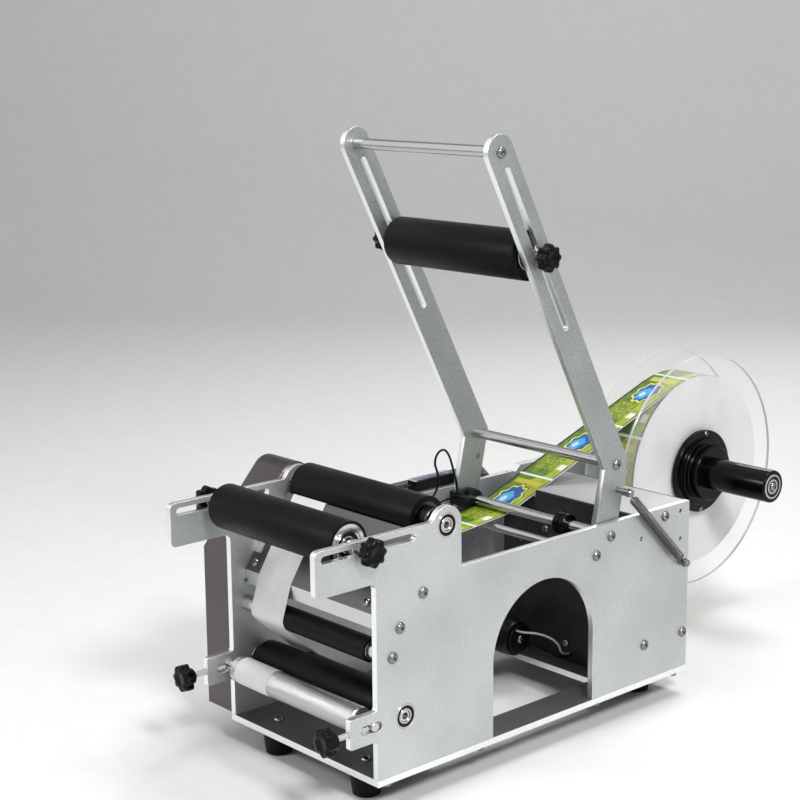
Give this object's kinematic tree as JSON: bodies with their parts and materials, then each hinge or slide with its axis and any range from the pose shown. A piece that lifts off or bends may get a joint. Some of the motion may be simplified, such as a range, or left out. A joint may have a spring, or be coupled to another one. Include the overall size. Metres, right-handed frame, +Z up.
{
  "type": "bottle labelling machine",
  "caption": "Bench machine that rolls round bottles between rubber rollers and peels printed labels off a web onto them, with a swing-down pressure roller and a label reel behind.",
  "frame": {"origin": "middle of the machine's bounding box at the bottom of the feet", "axes": "+X to the operator's right, +Y to the back, from the front roller towards the label reel, +Z up"},
  "size_m": [0.2624, 0.759, 0.551],
  "materials": {
    "plate_aluminium": "bead-blasted, fine speckle, brighter cut edges",
    "bright_steel": "bright, turned",
    "spring_steel": "bright wire",
    "roller_aluminium": "fine knurl",
    "black_rubber": "ground, matte",
    "gloss_black": "glossy",
    "matt_black": "satin",
    "white_lead": "soft",
    "clear_acrylic": "clear",
    "printed_web": "printed, semi-gloss",
    "liner_paper": "smooth",
    "circuit_green": "circuit board"
  },
  "bodies": {
    "frame": {"backing_strip": "liner_paper", "base_plate": "plate_aluminium", "box_back_plate": "plate_aluminium", "control_electronics": "circuit_green", "cross_rods": "bright_steel", "drive_belts": "black_rubber", "drive_motor": "matt_black", "electronics_box": "plate_aluminium", "fibre_amplifier": "matt_black", "frame_bearings": "bright_steel", "frame_screws": "bright_steel", "label_web": "printed_web", "left_side_plate": "plate_aluminium", "left_spring": "spring_steel", "motor_lead_black": "matt_black", "motor_lead_white": "white_lead", "peel_plate": "plate_aluminium", "peel_plate_brackets": "plate_aluminium", "power_inlet": "matt_black", "reel_arm": "plate_aluminium", "reel_spindle": "bright_steel", "right_side_plate": "plate_aluminium", "right_spring": "spring_steel", "rubber_feet": "black_rubber", "sensor_head": "matt_black", "sensor_lead_short": "matt_black", "sensor_lead_tall": "matt_black", "side_cover": "plate_aluminium"},
    "rocker": {"rocker_switch": "matt_black"},
    "web_collar": {"right_web_collar": "matt_black"},
    "motor_drive": {"motor_pulley": "bright_steel"},
    "rear_roller_set": {"rear_roller_shaft": "bright_steel", "rear_roller": "black_rubber", "rear_roller_pulley": "bright_steel"},
    "traction_roller_set": {"traction_shaft": "bright_steel", "traction_roller": "black_rubber", "traction_pulleys": "bright_steel"},
    "guide_roller_body": {"guide_roller": "roller_aluminium"},
    "pinch_carriage": {"pinch_axle": "bright_steel"},
    "pinch_roller_body": {"pinch_roller": "roller_aluminium"},
    "right_pinch_knob_body": {"right_pinch_knob": "gloss_black"},
    "left_pinch_knob_body": {"left_pinch_knob": "gloss_black"},
    "front_carriage": {"front_axle": "bright_steel"},
    "front_roller_body": {"front_roller": "black_rubber"},
    "right_front_knob_body": {"right_front_knob": "gloss_black"},
    "left_front_knob_body": {"left_front_knob": "gloss_black"},
    "swing_frame": {"right_swing_arm": "plate_aluminium", "left_swing_arm": "plate_aluminium", "arm_rods": "bright_steel", "arm_screws": "bright_steel"},
    "upper_carriage": {"upper_axle": "bright_steel"},
    "upper_roller_body": {"upper_roller": "black_rubber"},
    "right_upper_knob_body": {"right_upper_knob": "gloss_black"},
    "left_upper_knob_body": {"left_upper_knob": "gloss_black"},
    "reel": {"reel_tube": "matt_black", "far_reel_disc": "clear_acrylic", "far_reel_hub": "gloss_black", "label_roll": "liner_paper"},
    "near_flange": {"near_reel_disc": "clear_acrylic", "near_reel_hub": "gloss_black"}
  },
  "joints": [
    {"name": "swing_frame_pivot", "type": "hinge", "parent": "frame", "child": "swing_frame", "pos_m": [0.01415, -0.0325, 0.182], "axis": [1, 0, 0], "range_deg": [0, 48], "stiffness_Nm_per_rad": 1.7, "springref_deg": -41.25, "deforming": ["right_spring", "left_spring"]},
    {"name": "upper_carriage_slide", "type": "slide", "parent": "swing_frame", "child": "upper_carriage", "axis": [0, -0.46, 0.8879], "range_m": [-0.072, 0.069]},
    {"name": "upper_roller_spin", "type": "hinge", "parent": "upper_carriage", "child": "upper_roller_body", "pos_m": [0.01415, -0.12208, 0.44543], "axis": [1, 0, 0], "continuous": true},
    {"name": "right_upper_knob_turn", "type": "hinge", "parent": "upper_carriage", "child": "right_upper_knob_body", "pos_m": [0.01415, -0.12208, 0.44543], "axis": [1, 0, 0], "continuous": true},
    {"name": "left_upper_knob_turn", "type": "hinge", "parent": "upper_carriage", "child": "left_upper_knob_body", "pos_m": [0.01415, -0.12208, 0.44543], "axis": [1, 0, 0], "continuous": true},
    {"name": "front_carriage_slide", "type": "slide", "parent": "frame", "child": "front_carriage", "axis": [0, 1, 0], "range_m": [-0.04, 0.038]},
    {"name": "front_roller_spin", "type": "hinge", "parent": "front_carriage", "child": "front_roller_body", "pos_m": [0.01415, -0.329, 0.231], "axis": [1, 0, 0], "continuous": true},
    {"name": "right_front_knob_turn", "type": "hinge", "parent": "front_carriage", "child": "right_front_knob_body", "pos_m": [0.01415, -0.329, 0.231], "axis": [1, 0, 0], "continuous": true},
    {"name": "left_front_knob_turn", "type": "hinge", "parent": "front_carriage", "child": "left_front_knob_body", "pos_m": [0.01415, -0.329, 0.231], "axis": [1, 0, 0], "continuous": true},
    {"name": "reel_spin", "type": "hinge", "parent": "frame", "child": "reel", "pos_m": [0.01415, 0.2545, 0.17], "axis": [1, 0, 0], "continuous": true},
    {"name": "near_flange_slide", "type": "slide", "parent": "reel", "child": "near_flange", "axis": [1, 0, 0], "range_m": [0, 0.05]},
    {"name": "traction_roller_spin", "type": "hinge", "parent": "frame", "child": "traction_roller_set", "pos_m": [0.01415, -0.2859, 0.0786], "axis": [1, 0, 0], "continuous": true},
    {"name": "motor_spin", "type": "hinge", "parent": "frame", "child": "motor_drive", "pos_m": [0.01415, -0.036, 0.055], "axis": [1, 0, 0], "continuous": true},
    {"name": "rear_roller_spin", "type": "hinge", "parent": "frame", "child": "rear_roller_set", "pos_m": [0.01415, -0.2378, 0.2335], "axis": [1, 0, 0], "continuous": true},
    {"name": "guide_roller_spin", "type": "hinge", "parent": "frame", "child": "guide_roller_body", "pos_m": [0.01415, -0.2999, 0.1331], "axis": [1, 0, 0], "continuous": true},
    {"name": "pinch_carriage_slide", "type": "slide", "parent": "frame", "child": "pinch_carriage", "axis": [0, 1, 0], "range_m": [-0.009, 0]},
    {"name": "pinch_roller_spin", "type": "hinge", "parent": "pinch_carriage", "child": "pinch_roller_body", "pos_m": [0.01415, -0.319, 0.0782], "axis": [1, 0, 0], "continuous": true},
    {"name": "right_pinch_knob_turn", "type": "hinge", "parent": "pinch_carriage", "child": "right_pinch_knob_body", "pos_m": [0.11215, -0.317, 0.0782], "axis": [0, 1, 0], "continuous": true},
    {"name": "left_pinch_knob_turn", "type": "hinge", "parent": "pinch_carriage", "child": "left_pinch_knob_body", "pos_m": [-0.08385, -0.317, 0.0782], "axis": [0, 1, 0], "continuous": true},
    {"name": "web_collar_slide", "type": "slide", "parent": "frame", "child": "web_collar", "axis": [1, 0, 0], "range_m": [-0.06, 0.035]},
    {"name": "rocker_switch_tilt", "type": "hinge", "parent": "frame", "child": "rocker", "pos_m": [0.02615, 0.08, 0.084], "axis": [0, 0, 1], "range_deg": [0, 16]}
  ],
  "couplings": [
    {"joint": "traction_roller_spin", "follows": "reel_spin", "ratio": -5},
    {"joint": "motor_spin", "follows": "reel_spin", "ratio": -5},
    {"joint": "rear_roller_spin", "follows": "reel_spin", "ratio": -5},
    {"joint": "pinch_roller_spin", "follows": "reel_spin", "ratio": 8.5417},
    {"joint": "guide_roller_spin", "follows": "reel_spin", "ratio": 9.7619}
  ]
}
